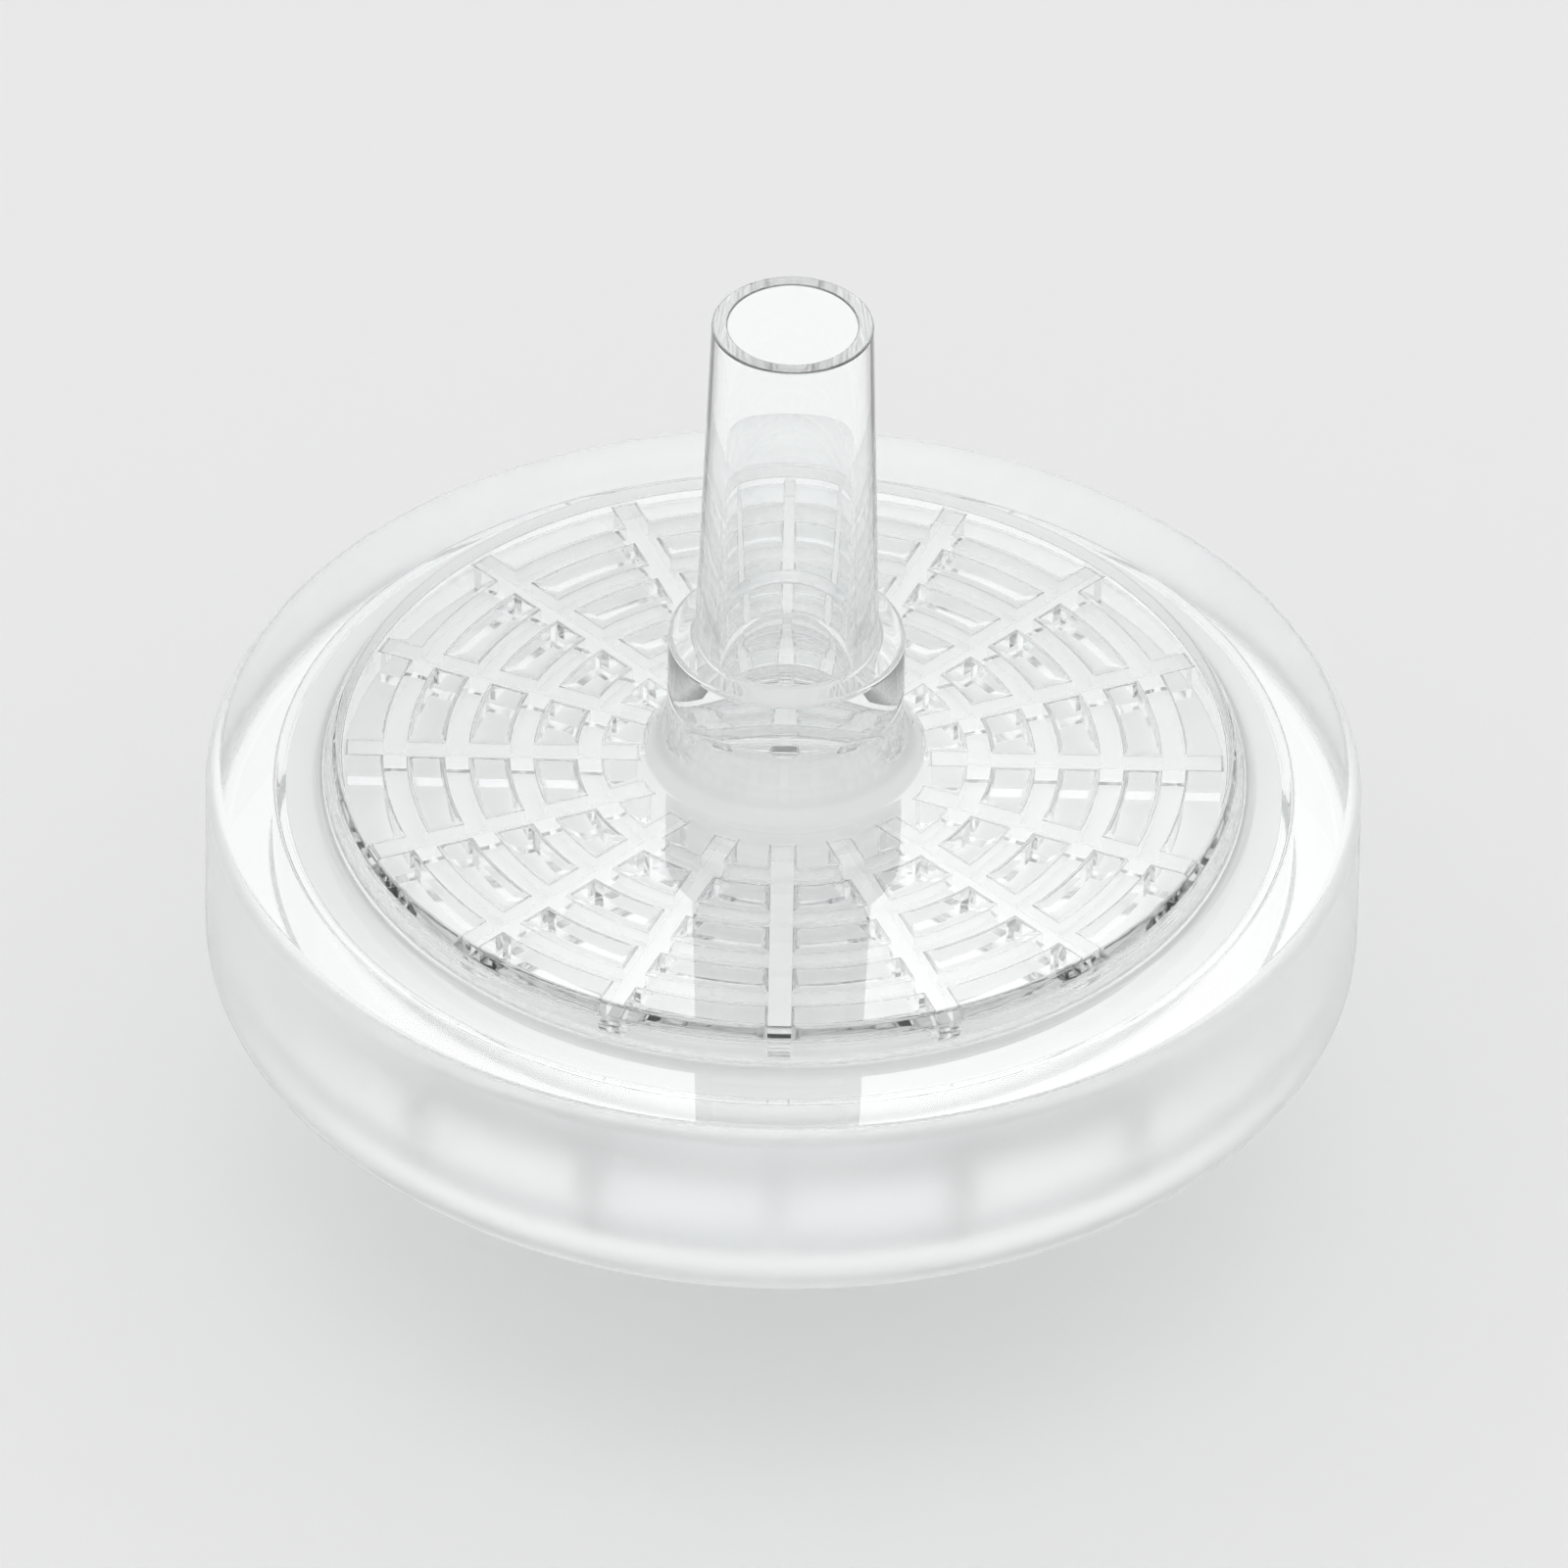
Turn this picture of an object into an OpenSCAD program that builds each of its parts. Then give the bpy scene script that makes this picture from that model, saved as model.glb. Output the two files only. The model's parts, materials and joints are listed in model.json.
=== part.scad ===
// Disc filter for the tip of a syringe, outlet up.
// Two clear mouldings are welded round one membrane.
// The origin is at the centre of the inlet hub's end face, and +Z runs along the flow to the outlet.

/* [Outlet tube] */
// Outside diameter of the tube at its tip
tip_d = 3.94; // [3.2:0.01:4.8]
// Thickness of the tube's wall at its tip
tip_wall = 0.39; // [0.3:0.01:0.8]
// Length of the tube above the collar
tube_h = 9.45; // [7.5:0.05:14]
// Growth in diameter for each millimetre of length, the same on the tube and in the socket
luer_taper = 0.06; // [0.04:0.005:0.08]

/* [Collar] */
// Width of the collar's ledge round the tube's foot
ledge_w = 0.65; // [0.4:0.05:1.5]
// Height of the collar above the round top
collar_h = 3.5; // [2.6:0.05:6]
// Fillet at the collar's foot
collar_fillet = 0.6; // [0.3:0.05:1.2]
// Height of the straight wall inside the collar, under the cone that narrows to the bore
straight_h = 0.85; // [0.2:0.05:1.4]

/* [Round top] */
// Distance that the round top's edge reaches past the chamber under it
top_cover = 0.1; // [0.05:0.05:0.5]
// Height of the round top above its foot
top_h = 0.45; // [0.3:0.05:1]
// Run of the slope at the round top's edge
top_slope = 0.25; // [0.1:0.05:0.5]
// Fillet between the round top and the flat of the rim
foot_fillet = 0.4; // [0.2:0.05:0.6]
// Thickness of the roof over the web, and of the collar's wall
wall = 0.55; // [0.4:0.05:0.7]

/* [Web] */
// Number of straight ribs
rib_n = 16; // [8:2:24]
// Width of every rib
rib_w = 0.56; // [0.4:0.02:0.8]
// Height of the straight ribs under the roof
rib_h = 1; // [0.7:0.05:1.5]
// Gap between the tips of the ring ribs and the membrane, where the filtrate runs in
drain_gap = 0.15; // [0.05:0.05:0.3]
// Gap between the straight ribs' ends and the chamber's wall
rib_end_gap = 0.19; // [0.1:0.01:0.4]
// Distance from the straight ribs' ends in to the first ring
ring_inset = 1.15; // [0.8:0.05:1.6]
// Distance from the first ring to the second
ring_pitch = 1.52; // [1.2:0.02:2]
// Growth of that distance at each ring further in
ring_growth = 0.07; // [0:0.01:0.15]

/* [Rim] */
// Overall diameter
rim_d = 28.4; // [25:0.1:36]
// Height of the rim from its flat top to its lower edge
rim_h = 5.05; // [4.8:0.05:8]
// Radius of the rim's upper edge
shoulder_r = 0.4; // [0.1:0.05:0.8]
// Radius of the rim's lower edge
edge_r = 0.6; // [0.1:0.05:0.9]
// Thickness of the skirt
skirt_t = 1.65; // [1:0.05:2]

/* [Membrane] */
// Thickness of the membrane
membrane_t = 0.2; // [0.1:0.05:0.4]
// Width of the band in which the halves clamp the membrane
clamp_w = 1.35; // [0.8:0.05:1.6]

/* [Inlet] */
// Length of the hub below the rim
hub_h = 6.5; // [4:0.1:10]
// Diameter of the hub
hub_d = 6.7; // [6:0.05:8]
// Distance that each of the two locking lugs stands out from the hub
lug_reach = 0.55; // [0.3:0.05:1]
// Width of each lug
lug_w = 3.4; // [2:0.1:4.5]
// Height of each lug
lug_h = 1; // [0.6:0.1:1.6]
// Diameter of the tapered socket at its mouth
socket_d = 4.3; // [3.8:0.01:5]
// Length of the port between the socket and the chamber
port_h = 1.05; // [0.6:0.05:2]
// Diameter of the port between the socket and the chamber
port_d = 1.8; // [1:0.1:3]
// Thickness of the floor
floor_t = 1.25; // [1:0.05:1.6]
// Height of the floor's ribs
floor_rib_h = 0.8; // [0.4:0.05:1]
// Gap between the floor's ribs and the membrane, where the liquid spreads
spread_gap = 0.3; // [0.1:0.05:0.5]
// Depth of the stiffening ribs under the floor
under_rib_h = 1.2; // [0.6:0.05:1.4]
// Fillet between the hub and the floor
hub_fillet = 0.6; // [0.2:0.05:1]
// Step from the skirt's lower edge up to the inlet half's own edge
edge_step = 0.4; // [0:0.05:0.6]
// Radial clearance between the inlet half and the skirt
fit_gap = 0.05; // [0.02:0.01:0.1]

/* [Hidden] */
$fn = 96;
// Straight pieces of a quarter round
steps = 6;
// Depth by which ribs run into what carries them
bite = 0.2;
// Rounding of the tube's tip and of the root where it leaves the collar
tip_round = 0.12;
// Draft of the bore, as growth in radius for each millimetre
bore_draft = 0.008;
// Width of the chamfer at the socket's mouth
mouth_chamfer = 0.2;
// Width of the wall that stands round the membrane
pocket_wall = 0.2;

// Levels, from the hub's end face up
skirt_z = hub_h;
flat_z = skirt_z + rim_h;
foot_z = flat_z + foot_fillet;
top_z = foot_z + top_h;
collar_z = top_z + collar_h;
tip_z = collar_z + tube_h;
roof_z = top_z - wall;
land_z = roof_z - rib_h;
seat_z = land_z - membrane_t;
floor_z = seat_z - spread_gap - floor_rib_h;
under_z = floor_z - floor_t;
inlet_edge_z = skirt_z + edge_step;

// Radii
rim_r = rim_d / 2;
tip_r = tip_d / 2;
tube_foot_r = tip_r + luer_taper / 2 * tube_h;
tip_bore_r = tip_r - tip_wall;
bore_foot_r = tip_bore_r + bore_draft * tube_h;
collar_r = tube_foot_r + ledge_w;
cavity_r = collar_r - wall;
skirt_in_r = rim_r - skirt_t;
inlet_r = skirt_in_r - fit_gap;
pocket_r = inlet_r - pocket_wall;
membrane_r = pocket_r - fit_gap;
chamber_r = membrane_r - clamp_w;
top_r = chamber_r + top_cover;
foot_r = top_r + top_slope;
rib_out_r = chamber_r - rib_end_gap;
rib_in_r = collar_r + collar_fillet;
hub_r = hub_d / 2;
socket_r = socket_d / 2;
socket_h = floor_z - port_h;
socket_end_r = socket_r - luer_taper / 2 * socket_h;
port_r = port_d / 2;
lug_r = hub_r + lug_reach;

// Ring ribs step in from the outermost one for as long as they clear the collar's hollow
function ring_r(k) = rib_out_r - ring_inset - k * ring_pitch - ring_growth * k * (k - 1) / 2;
rings = [for (k = [0 : 20]) if (ring_r(k) - rib_w > rib_in_r) ring_r(k)];

// Points of a round stretch about c, from angle a to angle b
function arc(c, r, a, b) =
    [for (i = [0 : steps]) let (t = a + (b - a) * i / steps) c + r * [cos(t), sin(t)]];

module ring_rib(r, z, h) {
    translate([0, 0, z]) difference() {
        cylinder(r = r + rib_w / 2, h = h);
        translate([0, 0, -1]) cylinder(r = r - rib_w / 2, h = h + 2);
    }
}

module straight_ribs(from, to, z, h) {
    for (i = [0 : rib_n - 1])
        rotate(i * 360 / rib_n) translate([from, -rib_w / 2, z]) cube([to - from, rib_w, h]);
}

// Half section of the outlet moulding's outside, rim to tip
module outlet_outside() {
    polygon(concat(
        [[0, skirt_z]],
        arc([rim_r - edge_r, skirt_z + edge_r], edge_r, -90, 0),
        arc([rim_r - shoulder_r, flat_z - shoulder_r], shoulder_r, 0, 90),
        arc([foot_r + foot_fillet, foot_z], foot_fillet, 270, 180),
        [[top_r, top_z]],
        arc([collar_r + collar_fillet, top_z + collar_fillet], collar_fillet, 270, 180),
        arc([collar_r - tip_round, collar_z - tip_round], tip_round, 0, 90),
        arc([tube_foot_r + tip_round, collar_z + tip_round], tip_round, 270, 180),
        arc([tip_r - tip_round, tip_z - tip_round], tip_round, 0, 90),
        [[0, tip_z]]
    ));
}

// Half section of its inside: skirt, chamber, hollow under the collar, and bore
module outlet_inside() {
    cone_z = top_z + collar_fillet + straight_h;
    polygon(concat(
        [[0, skirt_z - 1], [skirt_in_r, skirt_z - 1], [skirt_in_r, land_z],
         [chamber_r, land_z], [chamber_r, roof_z]],
        arc([rib_in_r, top_z + collar_fillet], collar_fillet + wall, 270, 180),
        [[cavity_r, cone_z], [bore_foot_r, collar_z - wall],
         [tip_bore_r, tip_z + 1], [0, tip_z + 1]]
    ));
}

module outlet_housing() {
    color([0.9, 0.93, 0.94, 0.4]) union() {
        rotate_extrude() difference() {
            outlet_outside();
            outlet_inside();
        }
        straight_ribs(rib_in_r, rib_out_r, land_z, rib_h + bite);
        for (r = rings) ring_rib(r, land_z + drain_gap, rib_h - drain_gap + bite);
    }
}

module membrane() {
    color([0.96, 0.96, 0.95]) translate([0, 0, seat_z]) cylinder(r = membrane_r, h = membrane_t);
}

// Half section of the inlet moulding: hub, floor, edge ring and the pocket for the membrane
module inlet_section() {
    difference() {
        polygon(concat(
            [[0, 0], [hub_r, 0]],
            arc([hub_r + hub_fillet, under_z - hub_fillet], hub_fillet, 180, 90),
            [[chamber_r, under_z], [chamber_r, inlet_edge_z], [inlet_r, inlet_edge_z],
             [inlet_r, land_z], [pocket_r, land_z], [pocket_r, seat_z],
             [chamber_r, seat_z], [chamber_r, floor_z], [0, floor_z]]
        ));
        polygon([[0, -1], [socket_r + mouth_chamfer, -1], [socket_r + mouth_chamfer, 0],
                 [socket_r, mouth_chamfer], [socket_end_r, socket_h], [port_r, socket_h],
                 [port_r, floor_z + 1], [0, floor_z + 1]]);
    }
}

// The two lugs that a luer lock ring screws on to
module lugs() {
    difference() {
        intersection() {
            cylinder(r = lug_r, h = lug_h);
            translate([-lug_r, -lug_w / 2, 0]) cube([2 * lug_r, lug_w, lug_h]);
        }
        translate([0, 0, -1]) cylinder(r = hub_r - bite, h = lug_h + 2);
    }
}

module inlet_housing() {
    color([0.9, 0.93, 0.94, 0.4]) union() {
        rotate_extrude() inlet_section();
        lugs();
        straight_ribs(port_r + rib_w, rib_out_r, floor_z - bite, floor_rib_h + bite);
        for (r = rings) ring_rib(r, floor_z - bite, floor_rib_h - drain_gap + bite);
        straight_ribs(hub_r - bite, chamber_r + bite, under_z - under_rib_h, under_rib_h + bite);
    }
}

outlet_housing();
membrane();
inlet_housing();
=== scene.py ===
import json
import math

import bmesh
import bpy
from mathutils import Matrix, Vector

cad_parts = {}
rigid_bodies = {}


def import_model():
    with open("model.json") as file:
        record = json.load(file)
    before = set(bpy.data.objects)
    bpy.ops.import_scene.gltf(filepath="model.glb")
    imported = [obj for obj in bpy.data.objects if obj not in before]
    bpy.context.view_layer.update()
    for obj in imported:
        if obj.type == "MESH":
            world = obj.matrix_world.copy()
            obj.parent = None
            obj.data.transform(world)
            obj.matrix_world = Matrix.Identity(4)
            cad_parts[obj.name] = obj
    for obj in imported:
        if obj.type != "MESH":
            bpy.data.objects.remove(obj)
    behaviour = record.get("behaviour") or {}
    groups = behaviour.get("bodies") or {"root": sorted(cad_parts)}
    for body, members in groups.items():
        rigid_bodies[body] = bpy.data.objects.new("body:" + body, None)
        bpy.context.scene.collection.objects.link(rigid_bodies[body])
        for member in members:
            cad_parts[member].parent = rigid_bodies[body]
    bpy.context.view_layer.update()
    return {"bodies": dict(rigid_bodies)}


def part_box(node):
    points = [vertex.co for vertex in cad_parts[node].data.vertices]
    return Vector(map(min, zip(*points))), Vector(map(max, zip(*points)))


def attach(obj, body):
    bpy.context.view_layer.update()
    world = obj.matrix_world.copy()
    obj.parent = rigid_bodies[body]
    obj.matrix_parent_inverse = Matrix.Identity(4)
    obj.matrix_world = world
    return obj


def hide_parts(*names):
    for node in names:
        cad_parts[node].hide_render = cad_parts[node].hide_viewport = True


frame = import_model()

# Everything is drawn in millimetres and brought down to metres once it is finished.
mm = 1000
bodyName = list(frame["bodies"])[0]


def millimetres(node):
    low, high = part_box(node)
    return low * mm, high * mm


outletLow, outletHigh = millimetres("outlet_housing")
inletLow, inletHigh = millimetres("inlet_housing")
membraneLow, membraneHigh = millimetres("membrane")

# Levels and radii that the pieces share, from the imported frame
levels = {
    "foot": inletLow.z,         # the hub's end face, on which the filter stands
    "skirt": outletLow.z,       # lower edge of the rim
    "seat": membraneLow.z,
    "land": membraneHigh.z,     # top of the membrane, where the straight ribs end
    "tip": outletHigh.z,
}
radii = {
    "rim": outletHigh.x,
    "inlet": inletHigh.x,
    "membrane": membraneHigh.x,
}

# The web of ribs on both halves
web = {
    "ribs": 16,
    "ribWidth": 0.56,
    "ringRadii": (4.79, 6.45, 8.04, 9.56),
    "ribEnd": 10.71,            # where the straight ribs stop
    "wall": 10.9,               # wall of the chamber
    "drain": 0.15,              # the rings stop short of the membrane by this
    "cornerRoom": 0.21,         # no points this near to a cell's corner, so that its fillets fit
    "around": 288,              # steps of a full turn
}
hairline = 0.02                 # air between faces that only press on each other
slack = 0.01                    # allowed when a place is compared with a radius
samePoint = 0.0005              # points closer than this are one
sharpFrom = 36                  # degrees between two faces from which their edge is sharp


def takeOnly(piece):
    bpy.ops.object.select_all(action="DESELECT")
    piece.select_set(True)
    bpy.context.view_layer.objects.active = piece


def editOn(piece):
    takeOnly(piece)
    bpy.ops.object.mode_set(mode="EDIT")


def editOff():
    bpy.ops.object.mode_set(mode="OBJECT")


def pick(kind, test):
    # selects only the vertices, edges or faces that pass the test
    bpy.ops.mesh.select_mode(type=kind)
    bpy.ops.mesh.select_all(action="DESELECT")
    data = bpy.context.object.data
    mesh = bmesh.from_edit_mesh(data)
    items = {"VERT": mesh.verts, "EDGE": mesh.edges, "FACE": mesh.faces}[kind]
    for item in items:
        if test(item):
            item.select_set(True)
    mesh.select_flush_mode()
    bmesh.update_edit_mesh(data)


def near(a, b, within=0.004):
    return abs(a - b) < within


def radiusOf(point):
    return math.hypot(point.x, point.y)


def drawLine(name, points):
    # a row of points in the XZ plane, drawn by extruding one vertex from each to the next
    bpy.ops.object.select_all(action="DESELECT")
    bpy.ops.mesh.primitive_plane_add(size=1, location=(points[0][0], 0, points[0][1]))
    piece = bpy.context.object
    piece.name = name
    piece.data.name = name
    bpy.ops.object.transform_apply(location=True, rotation=True, scale=True)
    bpy.ops.object.mode_set(mode="EDIT")
    bpy.ops.mesh.select_mode(type="VERT")
    bpy.ops.mesh.select_all(action="SELECT")
    bpy.ops.mesh.merge(type="CENTER")
    for (r0, z0), (r1, z1) in zip(points, points[1:]):
        bpy.ops.mesh.extrude_vertices_move(TRANSFORM_OT_translate={"value": (r1 - r0, 0, z1 - z0)})
    return piece


def roundCorner(r, z, radius, pieces):
    # rounds one corner of a drawn line
    pick("VERT", lambda v: near(v.co.x, r) and near(v.co.z, z))
    bpy.ops.mesh.bevel(offset=radius, segments=pieces, affect="VERTICES", clamp_overlap=True)


def spinRound(steps=web["around"]):
    bpy.ops.mesh.select_all(action="SELECT")
    bpy.ops.mesh.spin(steps=steps, angle=2 * math.pi, center=(0, 0, 0), axis=(0, 0, 1))
    bpy.ops.mesh.select_all(action="SELECT")
    bpy.ops.mesh.remove_doubles(threshold=samePoint)


def acrossRib(point):
    # sideways distance from the middle line of the nearest straight rib
    pitch = 2 * math.pi / web["ribs"]
    turn = math.atan2(point.y, point.x)
    return radiusOf(point) * math.sin(turn - pitch * round(turn / pitch))


def cutWeb(name, inner, start, z):
    # a flat ring at height z, cut along every rib and cleared of the lines that no rib needs
    half = web["ribWidth"] / 2
    ringEdges = [r + side * half for r in web["ringRadii"] for side in (-1, 1)]
    circles = sorted([start, web["ribEnd"]] + ringEdges)
    patch = drawLine(name, [(r, z) for r in [inner] + circles + [web["wall"]]])
    spinRound()

    def inWeb(r):
        return start - slack < r < web["ribEnd"] + slack

    def onSide(v):
        return near(abs(acrossRib(v.co)), half, samePoint)

    for i in range(web["ribs"] // 2):
        turn = 2 * math.pi * i / web["ribs"]
        side = Vector((-math.sin(turn), math.cos(turn), 0))
        for offset in (-half, half):
            pick("FACE", lambda f: all(inWeb(radiusOf(v.co)) for v in f.verts)
                 and abs(f.calc_center_median().dot(side)) < 3 * half)
            bpy.ops.mesh.bisect(plane_co=side * offset, plane_no=side, threshold=samePoint / 50)

    def needless(e):
        ends = [radiusOf(v.co) for v in e.verts]
        aside = abs(acrossRib((e.verts[0].co + e.verts[1].co) / 2))
        if abs(ends[0] - ends[1]) < 2 * slack:      # runs along a circle
            return aside > half and any(near(ends[0], r, slack) for r in (start, web["ribEnd"]))
        if all(inWeb(r) for r in ends):
            return not all(onSide(v) for v in e.verts)
        return aside > 2 * slack                    # between the web and the rings that border it

    def leftOver(v):
        r = radiusOf(v.co)
        if not inWeb(r):
            return False
        if onSide(v):                               # a point of no circle on a rib's side
            return min(abs(r - circle) for circle in circles) > slack
        crowding = abs(abs(acrossRib(v.co)) - half) < web["cornerRoom"]
        return crowding and start + slack < r < web["ribEnd"] - slack

    pick("EDGE", needless)
    bpy.ops.mesh.dissolve_edges(use_verts=False)
    pick("VERT", leftOver)
    bpy.ops.mesh.dissolve_verts()
    return patch


def raiseRibs(z, ringHeight, ribHeight):
    # draws the ribs out of the flat web; a negative height goes down
    # a face belongs to a rib if its middle is well inside the rib's width
    half = web["ribWidth"] / 2

    def straight(f):
        middle = f.calc_center_median()
        return abs(acrossRib(middle)) < half * 0.9 and radiusOf(middle) < web["ribEnd"]

    def ring(f):
        r = radiusOf(f.calc_center_median())
        return min(abs(r - ringR) for ringR in web["ringRadii"]) < half * 0.8

    pick("FACE", lambda f: near(f.calc_center_median().z, z) and (straight(f) or ring(f)))
    bpy.ops.mesh.extrude_region_move(TRANSFORM_OT_translate={"value": (0, 0, ringHeight)})
    pick("FACE", lambda f: near(f.calc_center_median().z, z + ringHeight) and straight(f))
    bpy.ops.mesh.extrude_region_move(TRANSFORM_OT_translate={"value": (0, 0, ribHeight - ringHeight)})


def joinOn(piece, other):
    takeOnly(piece)
    other.select_set(True)
    bpy.ops.object.join()
    bpy.ops.object.mode_set(mode="EDIT")
    bpy.ops.mesh.select_all(action="SELECT")
    bpy.ops.mesh.remove_doubles(threshold=samePoint)


def addOn(piece, other):
    # melts another solid into the piece
    editOff()
    takeOnly(piece)
    union = piece.modifiers.new("addOn", "BOOLEAN")
    union.operation = "UNION"
    union.solver = "MANIFOLD"
    union.object = other
    bpy.ops.object.modifier_apply(modifier=union.name)
    bpy.data.objects.remove(other)
    editOn(piece)
    bpy.ops.mesh.select_all(action="SELECT")
    bpy.ops.mesh.remove_doubles(threshold=4 * samePoint)
    bpy.ops.mesh.dissolve_degenerate(threshold=4 * samePoint)
    editOff()


def filletRoots(z, radius, pieces, inner, outer):
    # a fillet where the ribs and the wall leave the flat at height z, between two radii
    def root(e):
        inside = all(near(v.co.z, z) and inner < radiusOf(v.co) < outer for v in e.verts)
        if not inside or len(e.link_faces) != 2:
            return False
        flat, wall = sorted(e.link_faces, key=lambda f: -abs(f.normal.z))
        return abs(flat.normal.z) > 0.9 and abs(wall.normal.z) < 0.1
    pick("EDGE", root)
    bpy.ops.mesh.bevel(offset=radius, segments=pieces, affect="EDGES", clamp_overlap=False)


def finishPiece(piece, node, material):
    # outward faces, smooth rounds, flat flats, real size, and its place in the frame
    if bpy.context.mode != "EDIT_MESH":
        editOn(piece)
    bpy.ops.mesh.select_all(action="SELECT")
    bpy.ops.mesh.normals_make_consistent(inside=False)
    editOff()
    takeOnly(piece)
    bpy.ops.object.shade_smooth_by_angle(angle=math.radians(sharpFrom))
    weigh = piece.modifiers.new("weighFlats", "WEIGHTED_NORMAL")
    weigh.keep_sharp = True
    bpy.ops.object.modifier_apply(modifier=weigh.name)      # in millimetres, since it skips tiny areas
    piece.scale = (1 / mm,) * 3
    bpy.ops.object.transform_apply(location=True, rotation=True, scale=True)
    piece.data.materials.clear()
    piece.data.materials.append(material)
    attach(piece, bodyName)
    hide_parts(node)
    print(piece.name, "has", len(piece.data.polygons), "faces")


def linear(hexColour):
    # from a hex sRGB colour to the linear values that a socket takes
    channels = [int(hexColour[i:i + 2], 16) / 255 for i in (1, 3, 5)]
    return [c / 12.92 if c <= 0.04045 else ((c + 0.055) / 1.055) ** 2.4 for c in channels] + [1]


def addNode(tree, kind, settings=None, inputs=None):
    # adds a node; a setting is one of its properties, an input is a value or a socket to link
    node = tree.nodes.new(kind)
    for key, value in (settings or {}).items():
        setattr(node, key, value)
    for key, value in (inputs or {}).items():
        if isinstance(value, bpy.types.NodeSocket):
            tree.links.new(value, node.inputs[key])
        else:
            node.inputs[key].default_value = value
    return node


def startMaterial(name):
    material = bpy.data.materials.new(name)
    material.use_nodes = True
    return material, material.node_tree, material.node_tree.nodes["Principled BSDF"]


def makeClearAcrylic():
    # Injection moulded acrylic from a polished tool: clear as glass, with very faint waves in its faces
    look = {
        "colour": "#FCFDFD",
        "ior": 1.49,
        "clear": 0.99,          # the rest is the plastic's own faint haze
        "roughness": 0.01,
        "satin": 0.5,           # roughness of the rim's wall, which is textured for grip
        "satinFrom": 13.75,     # radius at which the texture starts to fade in
        "satinFull": 14.1,      # and at which it is full
        "waveSize": 3.5,        # millimetres from wave to wave
        "waveDepth": 0.0015,    # millimetres
    }
    material, tree, shader = startMaterial("clearMouldedAcrylic")
    place = addNode(tree, "ShaderNodeTexCoord")
    waves = addNode(tree, "ShaderNodeTexNoise", inputs={
        "Vector": place.outputs["Object"], "Scale": mm / look["waveSize"], "Detail": 1.0})
    relief = addNode(tree, "ShaderNodeBump", inputs={
        "Height": waves.outputs["Fac"], "Distance": look["waveDepth"] / mm, "Strength": 1.0})
    shader.inputs["Base Color"].default_value = linear(look["colour"])
    aside = addNode(tree, "ShaderNodeVectorMath", {"operation": "MULTIPLY"}, {
        0: place.outputs["Object"], 1: (1, 1, 0)})
    radius = addNode(tree, "ShaderNodeVectorMath", {"operation": "LENGTH"}, {0: aside.outputs["Vector"]})
    satin = addNode(tree, "ShaderNodeMapRange", {"interpolation_type": "SMOOTHSTEP"}, {
        "Value": radius.outputs["Value"],
        "From Min": look["satinFrom"] / mm, "From Max": look["satinFull"] / mm,
        "To Min": look["roughness"], "To Max": look["satin"]})
    shader.inputs["Transmission Weight"].default_value = look["clear"]
    shader.inputs["IOR"].default_value = look["ior"]
    tree.links.new(satin.outputs["Result"], shader.inputs["Roughness"])
    tree.links.new(relief.outputs["Normal"], shader.inputs["Normal"])
    return material


def makePorousNylon():
    # Cast nylon membrane: dense white and fully matt. Its pores are far too fine to see, so the grain is
    # drawn coarser.
    look = {
        "light": "#F7F7F6",
        "dark": "#EFEFEE",
        "grain": 0.12,          # millimetres; the pores are 0.0002 to 0.0005
        "grainDepth": 0.01,     # millimetres
        "cloud": 4.0,           # millimetres between slightly lighter and darker areas
        "roughness": 0.9,
        "specular": 0.2,        # pores leave little of a surface to shine
    }
    material, tree, shader = startMaterial("whitePorousNylon")
    place = addNode(tree, "ShaderNodeTexCoord")
    cloud = addNode(tree, "ShaderNodeTexNoise", inputs={
        "Vector": place.outputs["Object"], "Scale": mm / look["cloud"], "Detail": 3.0})
    tone = addNode(tree, "ShaderNodeMix", {"data_type": "RGBA"}, {
        "Factor": cloud.outputs["Fac"], "A": linear(look["dark"]), "B": linear(look["light"])})
    grain = addNode(tree, "ShaderNodeTexNoise", inputs={
        "Vector": place.outputs["Object"], "Scale": mm / look["grain"], "Detail": 4.0})
    relief = addNode(tree, "ShaderNodeBump", inputs={
        "Height": grain.outputs["Fac"], "Distance": look["grainDepth"] / mm, "Strength": 0.5})
    tree.links.new(tone.outputs["Result"], shader.inputs["Base Color"])
    tree.links.new(relief.outputs["Normal"], shader.inputs["Normal"])
    shader.inputs["Roughness"].default_value = look["roughness"]
    shader.inputs["Specular IOR Level"].default_value = look["specular"]
    return material


clearAcrylic = makeClearAcrylic()
porousNylon = makePorousNylon()
print("materials are ready")


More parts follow.
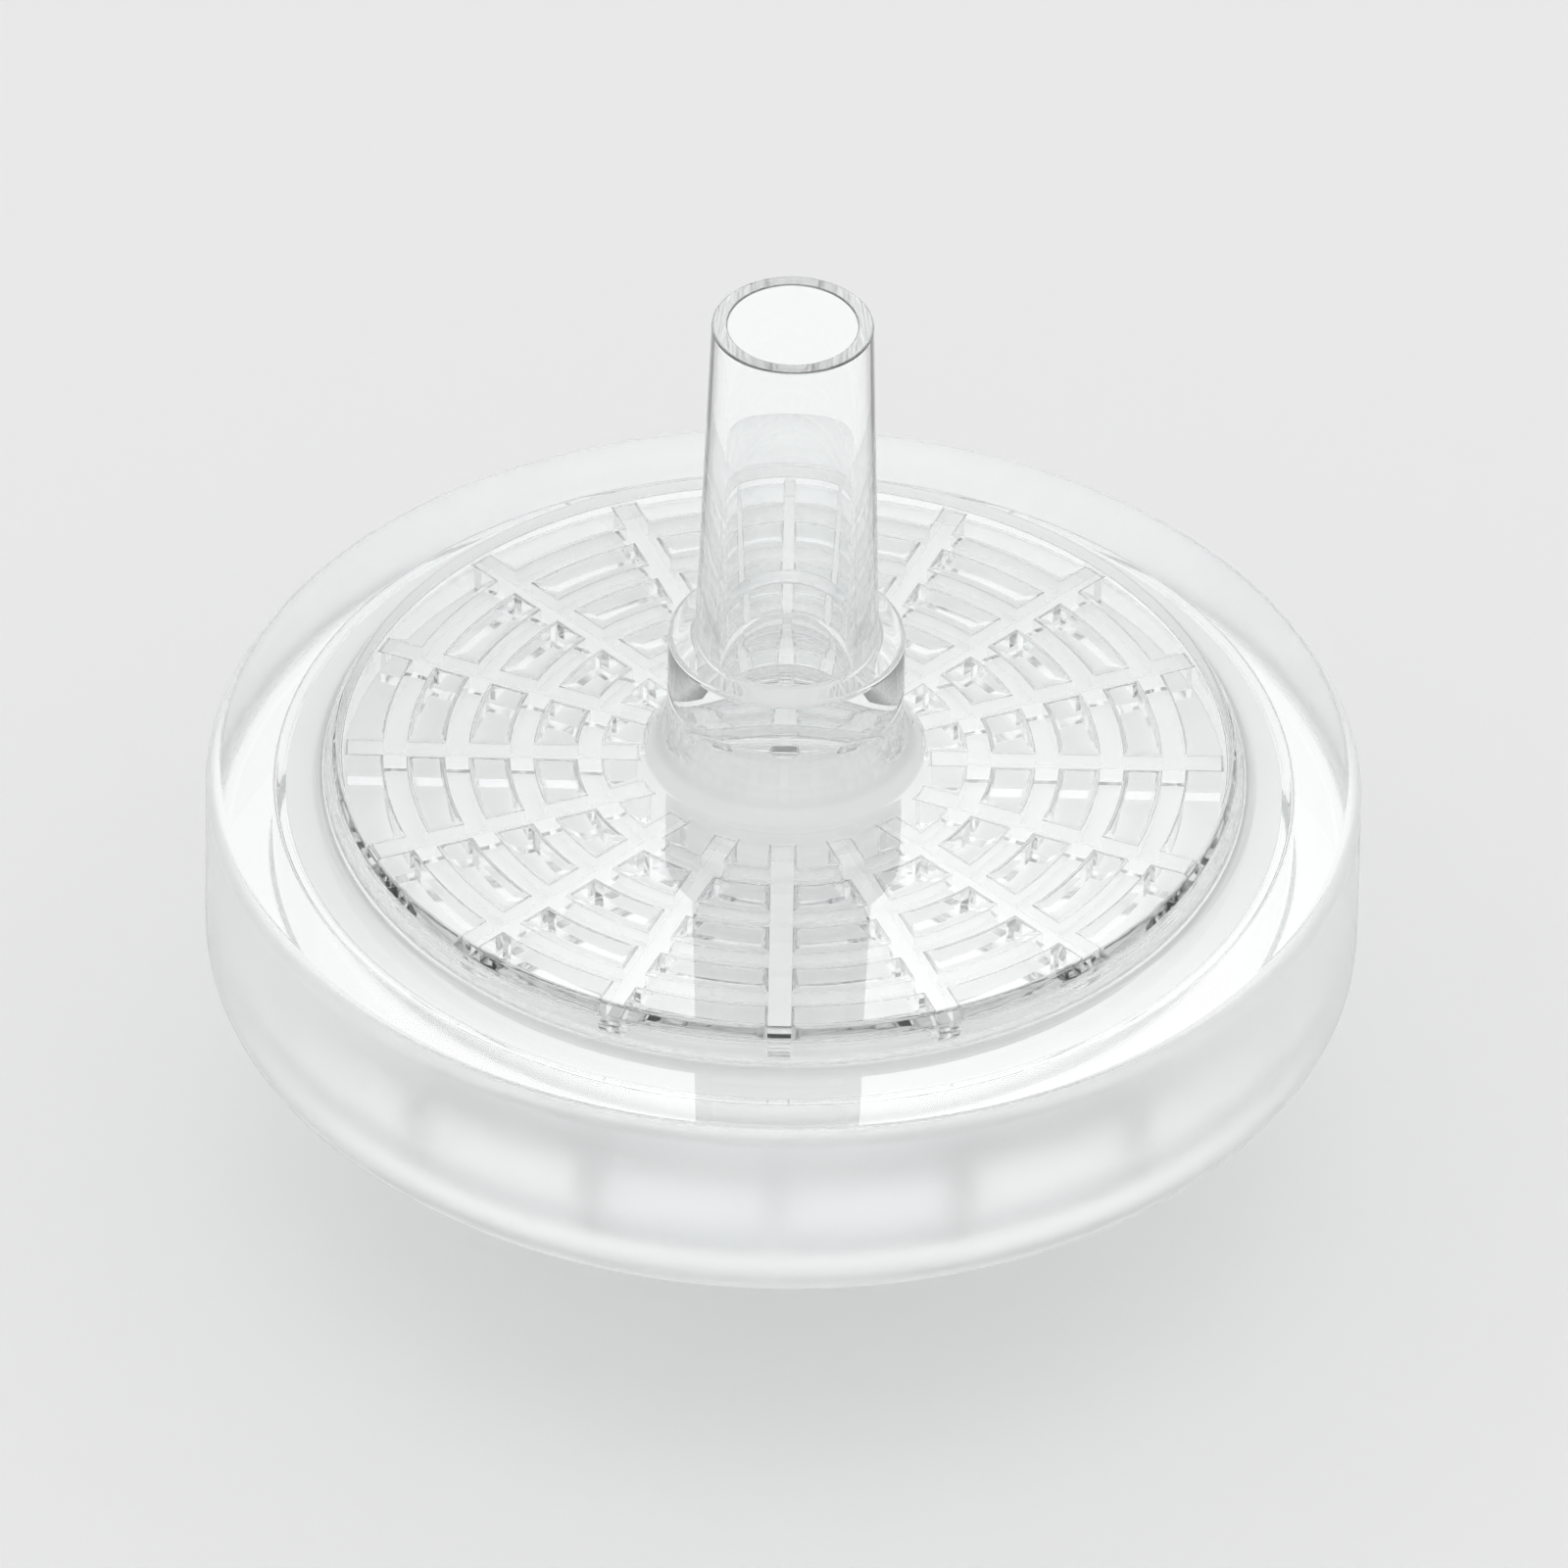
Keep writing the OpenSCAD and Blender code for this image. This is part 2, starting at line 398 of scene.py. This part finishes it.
def makeOutlet():
    # tube, collar, round top with its web, and rim
    size = {
        "tip": 1.97,            # radius of the tube at its tip
        "tipBore": 1.58,
        "tubeFoot": 2.2535,     # radius of the tube where it leaves the collar
        "boreFoot": 1.6556,
        "collar": 2.9035,
        "wall": 0.55,           # of the collar and the roof
        "tube": 9.45,           # length above the collar
        "collarHeight": 3.5,
        "straight": 0.85,       # straight part of the hollow, under its cone
        "top": 11.0,            # radius of the round top at its edge
        "foot": 11.25,          # and where it meets the rim's flat
        "topHeight": 0.45,
        "skirt": 1.65,          # thickness of the rim's skirt
        "ledge": 0.12,          # flat left between the hollow and the ribs' inner ends
        "collarFillet": 0.6,    # from here on, how far each corner is rounded
        "footFillet": 0.4,
        "cellFillet": 0.18,     # at the ribs' roots inside the closed cells
        "endFillet": 0.09,      # and at their other roots
        "shoulder": 0.4,
        "lowerEdge": 0.6,
        "topEdge": 0.08,
        "skirtTop": 0.1,
        "skirtFoot": 0.15,
        "collarEdge": 0.12,
        "tubeFillet": 0.12,
        "tipEdge": 0.06,
        "tipBoreEdge": 0.05,
        "boreFootEdge": 0.1,
        "coneEdge": 0.3,
    }
    collarZ = levels["tip"] - size["tube"]
    topZ = collarZ - size["collarHeight"]
    roofZ = topZ - size["wall"]
    footZ = topZ - size["topHeight"]
    flatZ = footZ - size["footFillet"]
    skirtIn = radii["rim"] - size["skirt"]
    cavity = size["collar"] - size["wall"]
    hollowEnd = size["collar"] + size["collarFillet"]
    ribStart = hollowEnd + size["ledge"]
    patchStart = hollowEnd + slack
    coneZ = topZ + size["collarFillet"] + size["straight"]
    land = levels["land"] + hairline
    boreZ = collarZ - size["wall"]

    body = drawLine("outletMoulding", [
        (web["wall"], roofZ), (web["wall"], land), (skirtIn, land), (skirtIn, levels["skirt"]),
        (radii["rim"], levels["skirt"]), (radii["rim"], flatZ),
        (size["foot"], flatZ), (size["foot"], footZ), (size["top"], topZ),
        (size["collar"], topZ), (size["collar"], collarZ), (size["tubeFoot"], collarZ),
        (size["tip"], levels["tip"]), (size["tipBore"], levels["tip"]), (size["boreFoot"], boreZ),
        (cavity, coneZ), (cavity, roofZ), (patchStart, roofZ)])
    roundCorner(skirtIn, land, size["skirtTop"], 3)
    roundCorner(skirtIn, levels["skirt"], size["skirtFoot"], 3)
    roundCorner(radii["rim"], levels["skirt"], size["lowerEdge"], 10)
    roundCorner(radii["rim"], flatZ, size["shoulder"], 8)
    roundCorner(size["foot"], flatZ, size["footFillet"] * 0.95, 8)      # stops short of the edge above
    roundCorner(size["top"], topZ, size["topEdge"], 3)
    roundCorner(size["collar"], topZ, size["collarFillet"], 10)
    roundCorner(size["collar"], collarZ, size["collarEdge"], 4)
    roundCorner(size["tubeFoot"], collarZ, size["tubeFillet"], 4)
    roundCorner(size["tip"], levels["tip"], size["tipEdge"], 4)
    roundCorner(size["tipBore"], levels["tip"], size["tipBoreEdge"], 4)
    roundCorner(size["boreFoot"], boreZ, size["boreFootEdge"], 3)
    roundCorner(cavity, coneZ, size["coneEdge"], 5)
    roundCorner(cavity, roofZ, size["collarFillet"] + size["wall"], 12)
    spinRound()
    editOff()

    patch = cutWeb("outletWeb", patchStart, ribStart, roofZ)
    drop = roofZ - land
    raiseRibs(roofZ, -(drop - web["drain"]), -drop)
    editOff()
    joinOn(body, patch)
    bpy.ops.mesh.select_all(action="SELECT")
    bpy.ops.mesh.normals_make_consistent(inside=False)
    # the closed cells have room for a wider fillet than the ribs' ends
    firstCell = web["ringRadii"][0] + web["ribWidth"] / 2 - slack
    lastCell = web["ringRadii"][-1] - web["ribWidth"] / 2 + slack
    filletRoots(roofZ, size["cellFillet"], 4, firstCell, lastCell)
    filletRoots(roofZ, size["endFillet"], 3, 0, radii["rim"])
    finishPiece(body, "outlet_housing", clearAcrylic)


makeOutlet()
print("the outlet half is done")


def makeMembrane():
    # a disc whose border is pressed thinner between the halves
    size = {
        "pressed": 0.03,        # how far the clamped band is squeezed on each side
        "slope": 0.15,          # width of the slope that leads to it
        "edge": 0.03,
    }
    thick = levels["land"] - levels["seat"]
    bpy.ops.object.select_all(action="DESELECT")
    bpy.ops.mesh.primitive_cylinder_add(
        vertices=web["around"], radius=radii["membrane"] - hairline, depth=thick,
        location=(0, 0, (levels["seat"] + levels["land"]) / 2))
    disc = bpy.context.object
    disc.name = disc.data.name = "filterMembrane"
    bpy.ops.object.transform_apply(location=True, rotation=True, scale=True)
    editOn(disc)
    for z, way in ((levels["land"], -1), (levels["seat"], 1)):
        pick("FACE", lambda f: near(f.calc_center_median().z, z))
        bpy.ops.mesh.inset(thickness=radii["membrane"] - hairline - web["wall"], depth=0)
        bpy.ops.mesh.inset(thickness=size["slope"], depth=0)
        pick("VERT", lambda v: near(v.co.z, z) and radiusOf(v.co) > web["wall"] - slack)
        bpy.ops.transform.translate(value=(0, 0, way * size["pressed"]))
    pick("EDGE", lambda e: all(radiusOf(v.co) > radii["membrane"] - 2 * hairline for v in e.verts)
         and near(e.verts[0].co.z, e.verts[1].co.z, 0.001))
    bpy.ops.mesh.bevel(offset=size["edge"], segments=2, affect="EDGES")
    finishPiece(disc, "membrane", porousNylon)


makeMembrane()
print("the membrane is done")


def makeInlet():
    # floor with its web, edge ring, stiffening ribs, and hub with its socket and lugs
    size = {
        "hub": 3.35,
        "socket": 2.15,         # radius of the tapered socket at its mouth
        "socketEnd": 1.895,
        "port": 0.9,
        "portLength": 1.05,
        "floor": 1.25,          # thickness of the floor
        "floorRib": 0.8,
        "spread": 0.3,          # room between the floor's ribs and the membrane
        "pocketWall": 0.2,
        "edgeStep": 0.4,
        "stiffener": 1.2,       # depth of the ribs under the floor
        "lugReach": 0.55,
        "lugWidth": 3.4,
        "lugHeight": 1.0,
        "lugSteps": 192,        # steps of the full turn that the lugs are cut from
        "bite": 0.2,            # how far a rib or a lug runs into what carries it
        "ledge": 0.1,           # flat drawn inside the ribs' inner ends
        "socketMouth": 0.2,     # chamfer at the socket's mouth
        "edge": 0.15,           # from here on, how far each corner is rounded
        "hubFillet": 0.6,
        "wallFoot": 0.3,
        "portFoot": 0.08,
        "portTop": 0.1,
        "ribFoot": 0.08,
        "lugEdge": 0.12,
    }
    seat = levels["seat"]
    top = levels["land"] - hairline
    floorZ = seat - size["spread"] - size["floorRib"]
    underZ = floorZ - size["floor"]
    edgeZ = levels["skirt"] + size["edgeStep"]
    foot = levels["foot"]
    pocket = radii["inlet"] - size["pocketWall"]
    ribStart = size["port"] + web["ribWidth"]
    patchStart = ribStart - size["ledge"]
    socketTop = floorZ - size["portLength"]

    body = drawLine("inletMoulding", [
        (patchStart, floorZ), (size["port"], floorZ), (size["port"], socketTop),
        (size["socketEnd"], socketTop),
        (size["socket"], foot + size["socketMouth"]), (size["socket"] + size["socketMouth"], foot),
        (size["hub"], foot), (size["hub"], underZ),
        (web["wall"], underZ), (web["wall"], edgeZ), (radii["inlet"], edgeZ), (radii["inlet"], top),
        (pocket, top), (pocket, seat), (web["wall"], seat), (web["wall"], floorZ)])
    roundCorner(size["hub"], foot, size["edge"], 4)
    roundCorner(size["hub"], underZ, size["hubFillet"], 8)
    roundCorner(web["wall"], underZ, size["wallFoot"], 5)
    roundCorner(web["wall"], edgeZ, size["edge"], 4)
    roundCorner(radii["inlet"], edgeZ, size["edge"], 4)
    roundCorner(size["socketEnd"], socketTop, size["edge"], 3)
    roundCorner(size["port"], socketTop, size["portFoot"], 2)
    roundCorner(size["port"], floorZ, size["portTop"], 3)
    spinRound()
    editOff()

    patch = cutWeb("inletWeb", patchStart, ribStart, floorZ)
    raiseRibs(floorZ, size["floorRib"] - web["drain"], size["floorRib"])
    editOff()
    joinOn(body, patch)
    bpy.ops.mesh.select_all(action="SELECT")
    bpy.ops.mesh.normals_make_consistent(inside=False)
    editOff()

    # one stiffening rib, copied round
    inner, outer = size["hub"] - size["bite"], web["wall"] + size["bite"]
    low, high = underZ - size["stiffener"], underZ + size["bite"]
    bpy.ops.object.select_all(action="DESELECT")
    bpy.ops.mesh.primitive_cube_add(size=1, location=((inner + outer) / 2, 0, (low + high) / 2),
                                    scale=(outer - inner, web["ribWidth"], high - low))
    rib = bpy.context.object
    rib.name = "stiffeners"
    bpy.ops.object.transform_apply(location=True, rotation=True, scale=True)
    editOn(rib)
    pick("EDGE", lambda e: all(near(v.co.z, low) for v in e.verts)
         and near(e.verts[0].co.y, e.verts[1].co.y))
    bpy.ops.mesh.bevel(offset=size["ribFoot"], segments=3, affect="EDGES")
    for i in range(1, web["ribs"]):
        pick("VERT", lambda v: abs(math.atan2(v.co.y, v.co.x)) < math.pi / web["ribs"])
        bpy.ops.mesh.duplicate()
        bpy.ops.transform.rotate(value=-2 * math.pi * i / web["ribs"], orient_axis="Z",
                                 center_override=(0, 0, 0))
    addOn(body, rib)

    # two lugs: a ring round the hub, cut off straight on both sides
    lugIn, lugOut = size["hub"] - size["bite"], size["hub"] + size["lugReach"]
    lugTop = foot + size["lugHeight"]
    lugs = drawLine("lugs", [
        (lugIn, foot), (lugOut, foot), (lugOut, lugTop), (lugIn, lugTop), (lugIn, foot)])
    bpy.ops.mesh.select_all(action="SELECT")
    bpy.ops.mesh.remove_doubles(threshold=samePoint)
    spinRound(size["lugSteps"])
    # turned half a step, so that no line of it falls on one of the hub's
    bpy.ops.transform.rotate(value=math.pi / size["lugSteps"], orient_axis="Z", center_override=(0, 0, 0))
    for side in (-1, 1):
        bpy.ops.mesh.select_all(action="SELECT")
        bpy.ops.mesh.bisect(plane_co=(0, side * size["lugWidth"] / 2, 0), plane_no=(0, side, 0),
                            use_fill=True, clear_outer=True)
    # their sharp edges outside the hub
    pick("EDGE", lambda e: e.calc_face_angle(0) > 1
         and all(radiusOf(v.co) > size["hub"] + hairline for v in e.verts))
    bpy.ops.mesh.bevel(offset=size["lugEdge"], segments=3, affect="EDGES")
    addOn(body, lugs)
    finishPiece(body, "inlet_housing", clearAcrylic)


makeInlet()
print("the inlet half is done")


shot = {
    "elevation": 38.2,          # degrees
    "roll": 1.1,                # degrees clockwise
    "distance": 0.6,            # metres, as are the values under it
    "width": 0.0385,            # of the picture at the filter
    "aim": (0, 0, 0.0112),
    "reach": (0.01, 20),        # nearest and farthest that it sees, in metres
}


def makeFloor():
    look = {
        "width": 6,
        "colour": "#F2F2F2",
        "roughness": 0.8,
        "below": 0.00002,       # a hair under the foot, so that the two faces do not fight
        "lit": 0.85,            # how white it shows in reflections and through the plastic
    }
    bpy.ops.object.select_all(action="DESELECT")
    bpy.ops.mesh.primitive_plane_add(size=look["width"], location=(0, 0, -look["below"]))
    floor = bpy.context.object
    floor.name = "paleFloor"
    material, tree, shader = startMaterial("paleFloor")
    shader.inputs["Base Color"].default_value = linear(look["colour"])
    shader.inputs["Roughness"].default_value = look["roughness"]
    ray = addNode(tree, "ShaderNodeLightPath")
    seen = addNode(tree, "ShaderNodeMath", {"operation": "MAXIMUM"}, {
        0: ray.outputs["Is Glossy Ray"], 1: ray.outputs["Is Transmission Ray"]})
    share = addNode(tree, "ShaderNodeMath", {"operation": "MULTIPLY"}, {
        0: seen.outputs["Value"], 1: look["lit"]})
    white = addNode(tree, "ShaderNodeEmission", inputs={"Color": linear("#FFFFFF")})
    both = addNode(tree, "ShaderNodeMixShader", inputs={
        0: share.outputs["Value"], 1: shader.outputs["BSDF"], 2: white.outputs["Emission"]})
    tree.links.new(both.outputs["Shader"], tree.nodes["Material Output"].inputs["Surface"])
    material.cycles.emission_sampling = "NONE"
    floor.data.materials.append(material)


def makeLight():
    light = {
        "sky": 1.0,             # brightness of the soft sky from skyLine up
        "horizon": 0.15,        # and at the horizon, which draws the dark outlines in the clear plastic
        "backdrop": 0.8,        # how bright the camera itself sees it past the floor
        "skyLine": 0.58,        # sine of the height at which the sky is at its full brightness
        "softbox": 3.4,         # brightness of the softbox behind, which shows only in reflections
        "softboxWidth": 0.04,
        "softboxCore": 0.05,    # share of its width that is evenly bright
        "softboxAway": 0.08,
        "softboxOver": (0.002, -0.0135, 0.0124),    # the middle of its reflection in the round top
        "bounces": 32,          # light crosses many walls of clear plastic before it leaves
        "mirrorings": 15,       # but what stays trapped in a wall is lost
    }
    world = bpy.data.worlds.new("studio")
    bpy.context.scene.world = world
    world.use_nodes = True
    tree = world.node_tree
    place = addNode(tree, "ShaderNodeTexCoord")
    height = addNode(tree, "ShaderNodeSeparateXYZ", inputs={"Vector": place.outputs["Generated"]})
    dome = addNode(tree, "ShaderNodeMapRange", {"interpolation_type": "SMOOTHSTEP"}, {
        "Value": height.outputs["Z"], "From Min": 0.0, "From Max": light["skyLine"],
        "To Min": light["horizon"], "To Max": light["sky"]})
    ray = addNode(tree, "ShaderNodeLightPath")
    behind = addNode(tree, "ShaderNodeMath", {"operation": "MULTIPLY"}, {
        0: ray.outputs["Is Camera Ray"], 1: light["backdrop"]})
    strength = addNode(tree, "ShaderNodeMath", {"operation": "MAXIMUM"}, {
        0: dome.outputs["Result"], 1: behind.outputs["Value"]})
    tree.links.new(strength.outputs["Value"], tree.nodes["Background"].inputs["Strength"])
    tree.nodes["Background"].inputs["Color"].default_value = (1, 1, 1, 1)

    # a smooth sky needs no aimed rays, and the clear walls would stop them
    world.cycles.sampling_method = "NONE"

    # the softbox fades towards its border, and only rays that mirror off a surface see it
    up = math.radians(shot["elevation"])
    toward = Vector((0, math.cos(up), math.sin(up)))
    bpy.ops.object.select_all(action="DESELECT")
    bpy.ops.mesh.primitive_circle_add(vertices=64, radius=light["softboxWidth"] / 2, fill_type="NGON")
    softbox = bpy.context.object
    softbox.name = "softbox"
    softbox.location = Vector(light["softboxOver"]) + toward * light["softboxAway"]
    softbox.rotation_euler = toward.to_track_quat("Z", "Y").to_euler()
    softbox.visible_camera = softbox.visible_diffuse = softbox.visible_transmission = False
    softbox.visible_shadow = False
    material = bpy.data.materials.new("softbox")
    material.use_nodes = True
    material.cycles.emission_sampling = "NONE"
    tree = material.node_tree
    spot = addNode(tree, "ShaderNodeTexCoord")
    off = addNode(tree, "ShaderNodeVectorMath", {"operation": "LENGTH"}, {0: spot.outputs["Object"]})
    fade = addNode(tree, "ShaderNodeMapRange", {"interpolation_type": "SMOOTHSTEP"}, {
        "Value": off.outputs["Value"], "From Min": light["softboxWidth"] * light["softboxCore"],
        "From Max": light["softboxWidth"] / 2, "To Min": light["softbox"], "To Max": 0.0})
    glow = addNode(tree, "ShaderNodeEmission", inputs={"Strength": fade.outputs["Result"]})
    passThrough = addNode(tree, "ShaderNodeBsdfTransparent")
    both = addNode(tree, "ShaderNodeAddShader", inputs={0: glow.outputs[0], 1: passThrough.outputs[0]})
    tree.links.new(both.outputs[0], tree.nodes["Material Output"].inputs["Surface"])
    softbox.data.materials.append(material)

    path = bpy.context.scene.cycles
    path.max_bounces = path.transmission_bounces = light["bounces"]
    path.glossy_bounces = light["mirrorings"]
    path.blur_glossy = 0        # keeps the light under the clear plastic as bright as it is


def makeCamera():
    data = bpy.data.cameras.new("camera")
    camera = bpy.data.objects.new("camera", data)
    bpy.context.scene.collection.objects.link(camera)
    up = math.radians(shot["elevation"])
    back = Vector((0, -math.cos(up), math.sin(up)))
    camera.location = Vector(shot["aim"]) + back * shot["distance"]
    turn = back.to_track_quat("Z", "Y").to_matrix().to_4x4()
    turn = turn @ Matrix.Rotation(math.radians(shot["roll"]), 4, "Z")
    camera.rotation_euler = turn.to_euler()
    data.lens = data.sensor_width * shot["distance"] / shot["width"]
    data.clip_start, data.clip_end = shot["reach"]
    bpy.context.scene.camera = camera


makeFloor()
makeLight()
makeCamera()
bpy.context.scene.view_settings.view_transform = "Standard"
print("floor, light and camera are set")
